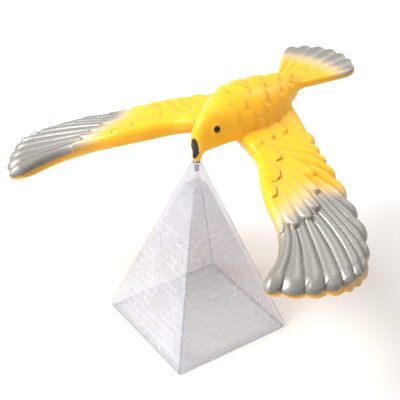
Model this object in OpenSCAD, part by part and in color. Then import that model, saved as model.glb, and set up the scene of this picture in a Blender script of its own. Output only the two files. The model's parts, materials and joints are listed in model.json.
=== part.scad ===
// Balancing bird: a hollow two-shell bird that stands on its beak tip,
// on the apex of a clear hollow pyramid. Slugs in the forward wing tips
// put the centre of mass straight below the beak tip.
// Frame: origin at the bottom centre of the stand, +Z up, the bird faces -Y.
// The bird's own modules are drawn about its pivot, the centre of the ball in the beak tip.

/* [Stand] */
// Side of the square base
base_side = 50; // [46:1:56]
// Height of the pyramid's flat top above the table
stand_h = 73; // [68:1:80]
// Turn of the pyramid about the vertical
stand_turn = -19; // [-45:1:45]
// Wall of the clear shell
stand_wall = 1.6; // [1.4:0.1:2.2]
// Height of the upright band around the foot
foot_band = 2.6; // [2.2:0.2:4]
// Number of block courses cut around the faces
courses = 14; // [8:1:18]
// Thickness of the base plate
plate_t = 1.8; // [1.4:0.2:2.4]

/* [Pivot] */
// Radius of the hard ball in the beak tip
ball_r = 0.8; // [0.7:0.05:0.9]
// Radial clearance of the ball in its cup and its socket
ball_fit = 0.05; // [0.03:0.01:0.08]
// Radius of the cup's stem, pressed to turn freely in the apex
stem_r = 1.0; // [0.9:0.05:1.1]

/* [Bird] */
// Wall of the plastic shells
shell_wall = 0.9; // [0.85:0.05:1.2]
// Thickness of a wing along its middle
wing_t = 7.4; // [7.3:0.1:7.7]
// Thickness of a wing at its rim
rim_t = 3.5; // [3.3:0.1:3.8]
// Thickness of the tail
tail_t = 1.7; // [1.6:0.1:2.4]
// Number of feathers across the tail fan
tail_feathers = 8; // [6:1:10]
// Radius of an eye bead
eye_r = 1.25; // [1:0.05:1.4]

/* [Wing weights] */
// Radius of a slug's rear end
slug_r = 6.8; // [6:0.1:6.8]
// Radius of its narrower front end
slug_nose = 4.3; // [4:0.1:4.4]
// Distance between the centres of its round ends
slug_span = 14; // [10:0.5:14]
// Thickness of a slug
slug_t = 4.5; // [3:0.1:4.5]

/* [Hidden] */
$fn = 48;
eps = 0.01;

// Pivot and cup
cup_drop = 0.35;        // the cup's top lies this far below the ball's centre
cup_head = 0.75;        // height of the cup's flange above the apex flat
cup_r = 1.5;
stem_l = 3;
stem_fit = 0.03;
pivot_z = stand_h + cup_head + cup_drop;

// Stand
apex_flat = 3.2;
slope = (base_side - apex_flat) / 2 / (stand_h - foot_band);
plate_fit = 0.15;
peg_r = 1.5;
peg_h = 5;
peg_inset = 7;
groove = 0.25;
course_share = 0.62;    // the courses cover this share of the slope, from the bottom
ribs = [6, 11, 16];     // outer radii of the round ribs on the base plate
rib_w = 0.8;
rib_h = 0.5;
lift = 0.05;            // gap between the plate and the tubes that stand over it

// Outline of the wing: leading edge, root to tip, then the notches between
// the flight feathers, around the tip and back along the trailing edge
lead = [[7, 16], [13, 13.5], [20, 9.5], [27, 1.2], [34.5, -6.4], [42.5, -12.1], [48.4, -18.6],
    [52, -26.7], [53.9, -36.5]];
front_notches = [[53.9, -36.5], [60.4, -35.6], [66.2, -30.2], [70.2, -23.8], [73.6, -17.8], [75, -12.8]];
rear_notches = [[75, -11.6], [74.8, -7], [72, 0], [67.5, 7.1], [59.5, 15.1], [52, 20.5],
    [44.5, 25], [38.6, 28], [34, 30.5], [29.6, 33.5], [23.8, 38.2]];
root_rear = [6, 51];
tip_bulge = 0.5;
feather_bulge = 0.2;
lobe_steps = 3;

// Height of the wing's crown above the pivot at distances from the middle
wing_crown = [[0, 7.4], [12, 6.4], [22, 4.3], [35, 1.6], [51, -3.8], [66, -7], [78, -9.6]];
rear_fall = 1.5;        // the wing tip's rear edge hangs this far below its front edge
joint_end = 56;         // behind this the joint is flat, through the middle of the tail
tail_joint = 6.2;
rim_drop = 1.4;         // fall of the top surface from the crown to the rim
part_drop = 2.6;        // the shells meet this far below the crown
joint_top = 4.8;        // and no higher than this under the body and the tail
chord_steps = 6;
slant = 1.4;            // walls are set in by this much more where the chords meet the edges aslant

// Body, beak to rump: y, half width, top, bottom
body = [[-1.2, 1.4, 10.6, 6.2], [-0.6, 2.3, 12, 4.6], [1, 3.5, 14.2, 3.6], [3, 4.5, 15.7, 3.4],
    [6, 5.9, 17, 3.6], [10, 7.4, 17.4, 3.8], [14, 9, 17.9, 3], [19, 10.9, 18.5, 2.2], [26, 12.6, 18.6, 1.6],
    [34, 13, 17.1, 1.4], [42, 11.9, 15, 1.8], [50, 9.5, 12.9, 2.6], [57, 7.2, 10.8, 3.4], [63, 6, 9, 4.4]];
body_mid = 5.6;
ring_steps = 24;

// Tail fan: a sector about a centre inside the back
fan_y = 44;
fan_half = 23;
fan_waist = 0.2;        // share by which the fan is narrower at its root
fan_start = 13;
fan_end = 50.6;
fan_round = 7.9;        // the outer feathers end this much nearer the root
fan_tip = 1.6;
fan_root_z = 7.7;
fan_end_z = 7.2;
flute = 0.5;
feather_steps = 4;
fan_steps = 6;

// Covert feathers laid over the wing root: where each starts and ends
coverts = [[[30, 3], [48.5, -14]], [[31, 9], [50.5, -7]], [[30, 15], [50.5, 1]], [[27, 20], [46.5, 10]],
    [[25, 25], [42, 17]], [[20, 12], [34, 4]], [[19, 19], [33, 11]], [[17, 26], [29, 19]]];
covert_w = 3.6;
covert_rise = 0.7;
covert_sunk = 1.2;
covert_flat = 0.35;

// Wing-tip slugs: centre, lie along the wing and slope of the wing there
slug_at = [62.1, -20.3];
slug_turn = -25;
slug_tilt = [-2.2, 12.1];   // slopes along and across the bird
slug_drop = 0.25;        // the middle of a slug lies this far below the middle of the wing
slug_gap = 0.25;
pocket_wall = 0.9;

// Beak: middle, with its shares of the radius in X, Y and Z, and the brow above it
beak_at = [0, 2.3, 5.2];
beak_shape = [0.75, 1.1, 1];
beak_r = 3;
beak_gap = 0.15;
brow_at = [0, 1.1, 9.4];
brow_r = 2.2;

eye_at = [5, 6.2, 11.9];
eye_turn = [0, 80, -28];
gate_at = [42.6, -11.6];

function catmull(a, b, c, d, t) =
    0.5 * (2 * b + (c - a) * t + (2 * a - 5 * b + 4 * c - d) * t * t + (3 * b - a - 3 * c + d) * t * t * t);
function curve(p, n) = [for (i = [0 : len(p) - 2], k = [0 : n - 1])
    catmull(p[max(i - 1, 0)], p[i], p[i + 1], p[min(i + 2, len(p) - 1)], k / n), p[len(p) - 1]];
function mix(a, b, t) = a + (b - a) * t;

// A lobe: points from notch a towards notch b, bulging to the left by a share of the chord
function lobe(a, b, bulge) = [for (k = [0 : lobe_steps - 1])
    let (t = k / lobe_steps, across = [b[1] - a[1], a[0] - b[0]])
    mix(a, b, t) + across * bulge * 4 * t * (1 - t)];
function lobes(notches, bulges, side) = [for (i = [0 : len(notches) - 2])
    each lobe(notches[i], notches[i + 1], side * bulges[min(i, len(bulges) - 1)])];

// Both edges of the wing, root to tip, with the same number of points
rear_inward = [for (i = [len(rear_notches) - 1 : -1 : 0]) rear_notches[i]];
rear_edge = concat([for (k = [0 : lobe_steps - 1]) mix(root_rear, rear_inward[0], k / lobe_steps)],
    lobes(rear_inward, [feather_bulge], -1), [rear_inward[len(rear_inward) - 1]]);
front_tip = concat(lobes(front_notches, [tip_bulge, feather_bulge], 1),
    [front_notches[len(front_notches) - 1]]);
lead_count = len(rear_edge) - len(front_tip);
lead_curve = curve(lead, 12);
lead_edge = [for (i = [0 : lead_count - 1])
    lead_curve[round(i / lead_count * (len(lead_curve) - 1))]];
front_edge = concat(lead_edge, front_tip);

crown_curve = curve(wing_crown, 6);
function crown(x) = lookup(abs(x), crown_curve);
function edge_share(v) = pow(abs(2 * v - 1), 10);

// Wing surfaces as rows of points, set in from the outer skin by a wall
function chord_point(i, v, wall) =
    let (a = front_edge[i], b = rear_edge[i], s = wall * slant / norm(b - a))
    mix(a, b, s + v * (1 - 2 * s));
function twist(x, v) = rear_fall * v * max(0, (x - 40) / 35);
function wing_top(x, v, wall) = crown(x) - twist(x, v) - rim_drop * edge_share(v) - wall;
function wing_low(x, v, wall) = crown(x) - twist(x, v) - wing_t
    + (wing_t - rim_drop - rim_t) * edge_share(v) + wall;
function wing_rows(first, last, wall, upper) = [for (i = [first : last]) [for (k = [0 : chord_steps])
    let (v = k / chord_steps, p = chord_point(i, v, wall))
    [p[0], p[1], upper ? wing_top(p[0], v, wall) : wing_low(p[0], v, wall)]]];

// Closed solid between two grids of points
module grid_solid(top, low) {
    rows = len(top) - 1;
    cols = len(top[0]) - 1;
    t = function (i, k) i * (cols + 1) + k;
    b = function (i, k) t(i, k) + (rows + 1) * (cols + 1);
    polyhedron(
        points = concat([for (row = top) each row], [for (row = low) each row]),
        faces = concat(
            [for (i = [0 : rows - 1], k = [0 : cols - 1]) each [
                [t(i, k), t(i, k + 1), t(i + 1, k + 1)], [t(i, k), t(i + 1, k + 1), t(i + 1, k)],
                [b(i, k), b(i + 1, k + 1), b(i, k + 1)], [b(i, k), b(i + 1, k), b(i + 1, k + 1)]]],
            [for (i = [0 : rows - 1]) each [
                [b(i, 0), t(i, 0), t(i + 1, 0)], [b(i, 0), t(i + 1, 0), b(i + 1, 0)],
                [b(i + 1, cols), t(i + 1, cols), t(i, cols)], [b(i + 1, cols), t(i, cols), b(i, cols)]]],
            [for (k = [0 : cols - 1]) each [
                [b(0, k + 1), t(0, k + 1), t(0, k)], [b(0, k + 1), t(0, k), b(0, k)],
                [b(rows, k), t(rows, k), t(rows, k + 1)], [b(rows, k), t(rows, k + 1), b(rows, k + 1)]]]));
}

// Closed solid through rings of points that follow one another along +Y
module ring_solid(rings) {
    n = len(rings[0]);
    last = (len(rings) - 1) * n;
    polyhedron(
        points = [for (r = rings) each r],
        faces = concat(
            [for (i = [0 : len(rings) - 2], a = [0 : n - 1])
                let (p = i * n + a, q = i * n + (a + 1) % n)
                each [[p, q, q + n], [p, q + n, p + n]]],
            [[for (a = [n - 1 : -1 : 0]) a], [for (a = [0 : n - 1]) last + a]]));
}

function body_ring(s, wall) = [for (a = [0 : ring_steps - 1])
    let (c = cos(a * 360 / ring_steps), z = sin(a * 360 / ring_steps),
        mid = min(max(body_mid, s[3] + 1.5), s[2] - 1.5))
    [(s[1] - wall) * c, s[0], mid + z * (z > 0 ? s[2] - mid - wall : mid - s[3] - wall)]];
body_curve = curve(body, 2);

// Points of the tail at a share u across the fan (-1 to 1) and a share k along it
function feather_crown(u) = abs(cos(u * tail_feathers * 90 + 90));
function tail_end(u) = fan_end - fan_round * u * u + fan_tip * (feather_crown(u) - 0.5);
function tail_rows(drop) = [for (i = [0 : tail_feathers * feather_steps]) [for (k = [0 : fan_steps])
    let (s = k / fan_steps,
        u = 2 * i / (tail_feathers * feather_steps) - 1,
        a = fan_half * u * (1 - fan_waist * (1 - s) * (1 - s)),
        r = mix(fan_start, tail_end(u), s))
    [r * sin(a), fan_y + r * cos(a), mix(fan_root_z, fan_end_z, s)
        - (drop > 0 ? drop : flute * (1 - feather_crown(u)))]]];

module both_sides() {
    children();
    mirror([1, 0, 0]) children();
}

module wing_solid(wall) {
    first = wall > 0 ? 3 : 0;
    last = len(front_edge) - (wall > 0 ? 3 : 1);
    grid_solid(wing_rows(first, last, wall, true), wing_rows(first, last, wall, false));
}

module body_solid(wall) {
    rings = [for (s = body_curve) if (wall == 0 || (s[0] > 1.5 && s[0] < 61)) body_ring(s, wall)];
    ring_solid(rings);
}

// Beak: hooks down from the front of the head to a blunt tip
module beak() {
    hull() {
        translate([0, 0, beak_gap]) cylinder(r1 = ball_r + 0.3, r2 = ball_r + 0.8, h = 1.1, $fn = 24);
        beak_middle();
    }
    hull() {
        beak_middle();
        translate(brow_at) sphere(r = brow_r, $fn = 24);
    }
}

module beak_middle() {
    translate(beak_at) scale(beak_shape) sphere(r = beak_r, $fn = 24);
}

// One covert feather: a low rounded blade from its root to its tip
module covert(c) {
    along = c[1] - c[0];
    tip = c[1] - along / norm(along) * covert_w;
    hull() {
        covert_end(c[0], 0);
        covert_end(tip, covert_rise);
    }
}

module covert_end(place, rise) {
    translate([place[0], place[1], crown(place[0]) - covert_sunk + rise])
        scale([1, 1, covert_flat]) sphere(r = covert_w, $fn = 10);
}

module skin() {
    body_solid(0);
    beak();
    grid_solid(tail_rows(0), tail_rows(tail_t));
    both_sides() {
        wing_solid(0);
        for (c = coverts) covert(c);
        translate([gate_at[0], gate_at[1], crown(gate_at[0]) - part_drop])
            sphere(r = 1.5, $fn = 12);
    }
}

module cavity() {
    body_solid(shell_wall);
    both_sides() wing_solid(shell_wall);
}

// Everything above the surface in which the two shells meet
module above_joint() {
    line = [for (p = crown_curve) [p[0], min(joint_top, p[1] - part_drop)]];
    mirrored = [for (i = [len(line) - 1 : -1 : 1]) [-line[i][0], line[i][1]]];
    reach = line[len(line) - 1][0] + 4;
    end_z = line[len(line) - 1][1];
    translate([0, joint_end, 0]) rotate([90, 0, 0]) linear_extrude(joint_end + 60)
        polygon(concat([[-reach, end_z]], mirrored, line, [[reach, end_z], [reach, 40], [-reach, 40]]));
    translate([-40, joint_end - eps, tail_joint]) cube([80, 60, 40 - tail_joint]);
}

module at_slug() {
    translate([slug_at[0], slug_at[1], crown(slug_at[0]) - wing_t / 2 - slug_drop])
        rotate([slug_tilt[0], slug_tilt[1], 0]) rotate([0, 0, slug_turn]) children();
}

// Flat drop-shaped plate with round ends, narrower at the front
module slug(grow) {
    hull() for (end = [[-1, slug_nose], [1, slug_r]]) translate([0, end[0] * slug_span / 2, 0])
        cylinder(r = end[1] + grow, h = slug_t + 2 * grow, center = true);
}

// Room for a slug, with a wall of the lower shell standing around it
module slug_room() {
    at_slug() slug(slug_gap, $fn = 32);
}

module slug_pocket() {
    at_slug() slug(slug_gap + pocket_wall, $fn = 32);
}

module eye_place(grow) {
    translate([eye_at[0], eye_at[1], eye_at[2]]) rotate(eye_turn) {
        scale([1, 1, 0.8]) sphere(r = eye_r + grow, $fn = 20);
        translate([0, 0, -2]) cylinder(r = 0.5 + grow, h = 2, $fn = 16);
    }
}

module pyramid_shell() {
    // Half width of the outer faces at a height, and the corner radius of a square of half width w
    half = function (z) z < foot_band ? base_side / 2 : base_side / 2 - slope * (z - foot_band);
    corner = function (w) w * sqrt(2);
    course_h = (stand_h - foot_band) * course_share / courses;
    cave_top = stand_h - stem_l - 6;
    outer = [for (i = [1 : courses]) let (z = foot_band + i * course_h)
        each [[half(z - 0.2), z - 0.2], [half(z) - groove, z], [half(z + 0.2), z + 0.2]]];
    color([0.9, 0.88, 0.94, 0.4]) rotate([0, 0, stand_turn]) {
        difference() {
            rotate([0, 0, 45]) rotate_extrude($fn = 4) polygon(concat(
                [[corner(base_side / 2 - stand_wall), 0], [corner(base_side / 2), 0],
                    [corner(base_side / 2), foot_band]],
                [for (p = outer) [corner(p[0]), p[1]]],
                [[corner(apex_flat / 2), stand_h], [0, stand_h], [0, cave_top],
                    [corner(half(cave_top) - stand_wall), cave_top],
                    [corner(half(foot_band) - stand_wall), foot_band]]));
            translate([0, 0, stand_h - stem_l - 0.3]) cylinder(r = stem_r + stem_fit, h = stem_l + 1);
        }
        for (x = [-1, 1], y = [-1, 1]) peg_socket(x, y);
    }
}

// Upright tube in a bottom corner that takes a peg of the base plate
module peg_socket(x, y) {
    place = base_side / 2 - peg_inset;
    translate([x * place, y * place, plate_t]) difference() {
        union() {
            cylinder(r = peg_r + 1, h = peg_h + 2.2);
            // Web out to the corner of the shell
            rotate([0, 0, atan2(y, x)]) translate([peg_r + 0.5, -0.5, 0])
                cube([peg_inset * sqrt(2) - stand_wall * 1.6 - peg_r - 0.5, 1, 3]);
        }
        translate([0, 0, -eps]) cylinder(r = peg_r + 0.05, h = peg_h + 0.2);
    }
}

module base_plate() {
    side = base_side - 2 * (stand_wall + plate_fit);
    peg_place = base_side / 2 - peg_inset;
    color([0.9, 0.88, 0.94, 0.4]) rotate([0, 0, stand_turn]) {
        translate([-side / 2, -side / 2, 0]) cube([side, side, plate_t - lift]);
        for (x = [-1, 1], y = [-1, 1])
            translate([x * peg_place, y * peg_place, plate_t - lift - eps]) cylinder(r = peg_r, h = peg_h);
        // Round ribs moulded into the plate's upper face
        for (r = ribs) translate([0, 0, plate_t - lift - eps]) difference() {
            cylinder(r = r, h = rib_h);
            translate([0, 0, -eps]) cylinder(r = r - rib_w, h = rib_h + 1);
        }
    }
}

module pivot_cup() {
    color([0.8, 0.8, 0.82]) translate([0, 0, stand_h]) difference() {
        union() {
            translate([0, 0, -stem_l]) cylinder(r = stem_r, h = stem_l + 0.2);
            translate([0, 0, 0.02]) cylinder(r = cup_r, h = cup_head - 0.02);
        }
        translate([0, 0, cup_head + cup_drop]) sphere(r = ball_r + ball_fit);
    }
}

module pivot_ball() {
    color([0.7, 0.7, 0.72]) translate([0, 0, pivot_z]) sphere(r = ball_r);
}

module upper_shell() {
    color([0.98, 0.78, 0.13]) translate([0, 0, pivot_z]) difference() {
        intersection() {
            skin();
            above_joint();
        }
        cavity();
        both_sides() {
            eye_place(0.05);
            slug_room();
        }
    }
}

module lower_shell() {
    color([0.93, 0.66, 0.1]) translate([0, 0, pivot_z]) difference() {
        skin();
        above_joint();
        difference() {
            cavity();
            both_sides() slug_pocket();
        }
        both_sides() slug_room();
        sphere(r = ball_r + 2 * ball_fit, $fn = 32);
    }
}

module weight(side) {
    color([0.6, 0.6, 0.62]) translate([0, 0, pivot_z]) mirror([side < 0 ? 1 : 0, 0, 0]) at_slug() slug(0);
}

module eye(side) {
    color([0.05, 0.04, 0.04]) translate([0, 0, pivot_z]) mirror([side < 0 ? 1 : 0, 0, 0]) eye_place(0);
}

pyramid_shell();
base_plate();
pivot_cup();
pivot_ball();
upper_shell();
lower_shell();
weight(1);  // weight_left
weight(-1);  // weight_right
eye(1);  // eye_left
eye(-1);  // eye_right
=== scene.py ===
"""Looks of the balancing bird and its clear pyramid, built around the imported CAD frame.

Bird shapes are in millimetres about the pivot, the centre of the ball in the beak tip:
X to the bird's left, Y from beak to tail, Z up. The stand's are about the row origin.
The bird is sampled for its left half only and mirrored. A field is below zero inside.
"""

import json
import math

import bmesh
import bpy
import numpy as np
from mathutils import Euler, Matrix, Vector


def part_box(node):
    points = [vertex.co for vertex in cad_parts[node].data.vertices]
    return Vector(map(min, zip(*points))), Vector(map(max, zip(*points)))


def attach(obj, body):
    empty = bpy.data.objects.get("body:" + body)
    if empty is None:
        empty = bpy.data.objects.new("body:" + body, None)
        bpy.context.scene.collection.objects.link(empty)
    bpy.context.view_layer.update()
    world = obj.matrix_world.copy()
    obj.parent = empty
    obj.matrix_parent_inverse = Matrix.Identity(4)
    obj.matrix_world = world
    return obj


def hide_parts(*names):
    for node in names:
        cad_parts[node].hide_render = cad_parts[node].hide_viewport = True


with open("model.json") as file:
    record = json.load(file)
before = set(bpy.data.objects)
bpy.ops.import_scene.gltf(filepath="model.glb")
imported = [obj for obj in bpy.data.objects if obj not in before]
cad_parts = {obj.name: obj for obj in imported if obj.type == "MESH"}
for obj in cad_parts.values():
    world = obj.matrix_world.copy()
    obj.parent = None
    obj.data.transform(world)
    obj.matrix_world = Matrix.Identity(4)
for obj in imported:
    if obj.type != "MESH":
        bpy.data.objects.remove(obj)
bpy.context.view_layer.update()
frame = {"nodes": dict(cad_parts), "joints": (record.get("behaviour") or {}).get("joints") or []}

MM = 0.001
STEP = 0.38  # spacing of the samples that the bird's skin is drawn from
PIVOT = Vector(frame["joints"][0]["pos_m"])

# ---------------------------------------------------------------- bird, sizes

WALL = 0.9  # of the hollow bird
WING_T = 7.4  # thickness of the wing in the middle, and at its rim
RIM_T = 3.5
RIM_DROP = 1.4  # the top falls this much towards the rim, and this much more at the tip
TIP_DROP = 0.5
REAR_FALL = 1.5  # the wing's rear edge hangs this much lower at the tip
RIM_TURN = 10  # power that keeps the wing flat until near its rim

# The glued joint between the halves: this far below the wing's crown, and at most this high
PART_DROP = 2.6
JOINT_TOP = 4.8
JOINT_END = 56  # behind this it runs through the tail, at this height
TAIL_JOINT = 6.2
SEAM_BOND = 0.06  # the melted seam: each half reaches this far past the joint

TIP_BULGE = 0.5  # how far the foremost feather's round end stands out, as a share of its width
FEATHER_BULGE = 0.2  # and the other feathers'
LOBE_ROLL = 5  # the flight feathers roll down over this distance from their ends, by this much
LOBE_FALL = 1.3
GROOVE_SHARE = 0.22  # a groove is this deep for each mm of feather width, up to a limit
GROOVE_DEEPEST = 1.1
COVERT_GROWTH = 1.8  # the covert feathers stand this many times higher than listed

# Outline of the wing, root to tip along the front, then the notches between feathers
LEAD = [(7, 16), (13, 13.5), (20, 9.5), (27, 1.2), (34.5, -6.4), (42.5, -12.1), (48.4, -18.6),
        (52, -26.7), (53.9, -36.5)]
LEAD_STEPS = 8
SMOOTH_LEAD = 60  # the first points of the outline: the leading edge, up to the foremost feather
FRONT_NOTCHES = [(53.9, -36.5), (60.4, -35.6), (66.2, -30.2), (70.2, -23.8), (73.6, -17.8), (75, -12.8)]
REAR_NOTCHES = [(75, -11.6), (74.8, -7), (72, 0), (67.5, 7.1), (59.5, 15.1), (52, 20.5), (44.5, 25),
                (38.6, 28), (34, 30.5), (29.6, 33.5), (23.8, 38.2)]
ROOT_REAR = (6, 51)
WIDEST = 74.4  # past this the wing keeps its section out to the tip

# Height of the wing's top along its middle, as x and z
WING_CROWN = [(0, 7.4), (12, 6.4), (22, 4.3), (35, 1.6), (51, -3.8), (66, -7), (78, -9.6)]

# Grooves between the flight feathers, from each notch in to the feather's root
GROOVES = [
    [(60.4, -35.6), (57.6, -28), (54.2, -20), (50.5, -13.5), (47, -10)],
    [(66.2, -30.2), (62, -24), (57.5, -18.2), (53, -13), (49, -9.5)],
    [(70.2, -23.8), (65.5, -18.5), (59.5, -12.6), (54, -7.8), (48.5, -3)],
    [(73.6, -17.8), (68, -12.8), (61.5, -7.6), (55, -3.5), (48.5, -0.4)],
    [(75, -12.4), (70.5, -8.2), (63.5, -2.8), (56, 1.4), (48.5, 4)],
    [(74.8, -7), (69.5, -2.6), (62.5, 1.7), (55.5, 4.8), (47.5, 7.6)],
    [(72, 0), (67, 2.6), (59.5, 5.9), (52, 8.4), (44.5, 10.4)],
    [(67.5, 7.1), (61, 8.9), (54, 11), (46, 12.7)],
    [(59.5, 15.1), (53, 15.1), (46.5, 15.2), (41, 15)],
    [(52, 20.5), (46, 19.8), (40, 18.6), (35, 17)],
    [(44.5, 25), (38.5, 23.6), (33, 21), (29, 19)],
    [(38.6, 28), (33, 26.4), (28, 23.6), (24, 21.5)],
    [(34, 30.5), (28.5, 28.6), (24, 26)],
    [(29.6, 33.5), (24, 31), (19, 28.5)],
    [(23.8, 38.2), (18.5, 34.5), (14, 31)],
]

# Covert feathers over the wing root: root, tip, half width, how far the tip stands up
COVERTS = [
    [(24, 4), (37, -4), 3.2, 0.5],
    [(20, 11), (33, 4.6), 3.8, 0.5],
    [(17, 18), (27.6, 13.6), 3.2, 0.5],
    [(12, 14), (17.5, 16.8), 3.4, 0.55],
    [(11, 20), (18.2, 23.6), 3.6, 0.55],
    [(12, 27), (19.5, 30.5), 3.4, 0.45],
    [(31, -2), (47.2, -16), 2.7, 0.6],
    [(32, 1.5), (49.6, -9.3), 2.9, 0.75],
    [(32, 6), (50.8, -2.4), 2.7, 0.75],
    [(31, 9.5), (50, 4.2), 2.5, 0.8],
    [(28, 13.5), (45.6, 11), 2.5, 0.7],
    [(25, 17.5), (40, 17), 2.3, 0.6],
]

# Body, beak to rump: y, half width, top, bottom
BODY = [(-1.2, 1.4, 10.6, 6.2), (-0.6, 2.3, 12, 4.6), (1, 3.5, 14.2, 3.6), (3, 4.5, 15.7, 3.4),
        (6, 5.9, 17, 3.6), (10, 7.4, 17.4, 3.8), (14, 9, 17.9, 3), (19, 10.9, 18.5, 2.2),
        (26, 12.6, 18.6, 1.6), (34, 13, 17.1, 1.4), (42, 11.9, 15, 1.8), (50, 9.5, 12.9, 2.6),
        (57, 7.2, 10.8, 3.4), (63, 6, 9, 4.4)]
BODY_MID = 5.6  # height at which it is widest
WING_FILLET = 1.8  # radius where the wing meets the body
TAIL_FILLET = 1.2
BEAK_FILLET = 1.6

# Beak: two chains of balls, each a place and a radius, the front of the bill and the throat behind it
BEAK = [[((0, 0, 1.3), 1.6), ((0, 1.3, 5), 2.2), ((0, 1.1, 9.4), 2.2)],
        [((0, 0.4, 1.4), 1.5), ((0, 3.4, 5.6), 2.3), ((0, 3, 9), 2.6)]]

# Tail fan about a centre inside the back, with distances from that centre
FAN_Y = 44
FAN_HALF = math.radians(23)
FAN_WAIST = 0.2  # share by which the fan is narrower at its root
FAN_START = 13
FAN_END = 50.75
FAN_ROUND = 7.6  # the outer feathers end this much nearer the root
FAN_TIP = 0.9  # depth of the notches between the feathers' ends
FAN_ROOT_Z = 7.7
FAN_END_Z = 7.2
TAIL_T = 1.7
TAIL_FEATHERS = 7
TAIL_RIM = 1.1  # the fan's border is this much deeper underneath

# Back feathers, row by row from the head: half width, how far the end stands up, how many from the middle out
SCALE_HALF = (3.3, 3.7, 4.0, 4.4, 4.5, 4.4, 4.2, 4.0, 4.6)
SCALE_RISE = (0.6, 1.0, 1.4, 1.5, 1.55, 1.5, 1.35, 1.2, 1.1)
SCALE_COUNT = (3, 4, 4, 4, 3, 3, 2, 2, 1)
FIRST_SCALE = 17.5
SCALE_PITCH = 5.7

EYE_AT = (4.55, 6.1, 11.8)
EYE_R = 1.25
EYE_RIM = 1.75  # radius and height of the raised ring round an eye
EYE_RIM_RISE = 0.3
BALL_R = 0.8
BALL_ROOM = 0.18  # more than the part's own gap, since the skin is sampled coarsely for so small a ball

# Wing-tip slug: the same drop-shaped plate as in the CAD
SLUG_AT = (62.1, -20.3)
SLUG_R = 6.8
SLUG_NOSE = 4.3
SLUG_SPAN = 14
SLUG_T = 4.5
SLUG_TURN = math.radians(-25)
SLUG_TILT = (math.radians(-2.2), math.radians(12.1))
SLUG_DROP = 0.25
SLUG_GAP = 0.25
POCKET_WALL = 0.9
LEAST_SKIN = 0.6  # plastic kept between a slug's room and the skin

# Room in which the bird is sampled: across, along, and up for either half
SAMPLED_X = (0, 77.5)
SAMPLED_Y = (-40.5, 97)
UPPER_Z = (-14.2, 20.2)
LOWER_Z = (-18.5, 7.6)
BODY_REACH = 20  # the body and the beak lie within this of the middle


# ---------------------------------------------------------------- curves and fields


def curve(points, steps):
    """Smooth line through the points, with this many steps between two of them."""
    p = np.array(points, float)
    line = []
    for i in range(len(p) - 1):
        a, b, c, d = p[max(i - 1, 0)], p[i], p[i + 1], p[min(i + 2, len(p) - 1)]
        for t in np.arange(steps) / steps:
            line.append(0.5 * (2 * b + (c - a) * t + (2 * a - 5 * b + 4 * c - d) * t**2
                               + (3 * b - a - 3 * c + d) * t**3))
    return np.array(line + [p[-1]])


def lobes(notches, bulges, side):
    """Rounded feather ends between notches, each bulging by a share of its chord."""
    line = []
    for i, (a, b) in enumerate(zip(notches[:-1], notches[1:])):
        a, b = np.array(a, float), np.array(b, float)
        across = np.array([b[1] - a[1], a[0] - b[0]]) * side * bulges[min(i, len(bulges) - 1)]
        for t in np.arange(8) / 8:
            line.append(a + (b - a) * t + across * 4 * t * (1 - t))
    return line


def smooth(low, high, x):
    t = np.clip((x - low) / (high - low), 0, 1)
    return t * t * (3 - 2 * t)


def mix(a, b, t):
    return a + (b - a) * t


def merge(a, b, soft):
    """Union of two fields with a fillet."""
    h = np.maximum(soft - np.abs(a - b), 0) / soft
    return np.minimum(a, b) - h * h * soft / 4


def rounded(a, b, radius):
    """Intersection of two fields with a round edge."""
    outside = np.hypot(np.maximum(a + radius, 0), np.maximum(b + radius, 0)) - radius
    return np.where((a > -radius) & (b > -radius), outside, np.maximum(a, b))


def line_distance(x, y, line):
    """Distance to a line of points, and on which side of it the place lies (+1 or -1)."""
    best = np.full(x.shape, 1e9)
    side = np.ones(x.shape)
    for a, b in zip(line[:-1], line[1:]):
        along = b - a
        t = np.clip(((x - a[0]) * along[0] + (y - a[1]) * along[1]) / (along @ along), 0, 1)
        dx, dy = x - a[0] - t * along[0], y - a[1] - t * along[1]
        d = dx * dx + dy * dy
        nearer = d < best
        best = np.where(nearer, d, best)
        side = np.where(nearer, np.sign(along[0] * dy - along[1] * dx), side)
    return np.sqrt(best), side


def inside_polygon(x, y, line):
    odd = np.zeros(x.shape, bool)
    for a, b in zip(line, np.roll(line, -1, 0)):
        crosses = (a[1] > y) != (b[1] > y)
        rise = b[1] - a[1] if b[1] != a[1] else 1e-9
        odd ^= crosses & (x < (b[0] - a[0]) * (y - a[1]) / rise + a[0])
    return odd


# ---------------------------------------------------------------- wing

WING_FRONT = np.vstack([curve(LEAD, LEAD_STEPS)[:-1], lobes(FRONT_NOTCHES, [TIP_BULGE, FEATHER_BULGE], 1),
                        FRONT_NOTCHES[-1:]])
WING_REAR = np.vstack([[ROOT_REAR], lobes(REAR_NOTCHES[::-1], [FEATHER_BULGE], -1), REAR_NOTCHES[:1]])
CROWN = curve(WING_CROWN, 8)


def crown(x):
    """Height of the wing's top along its middle."""
    return np.interp(np.abs(x), CROWN[:, 0], CROWN[:, 1])


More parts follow.
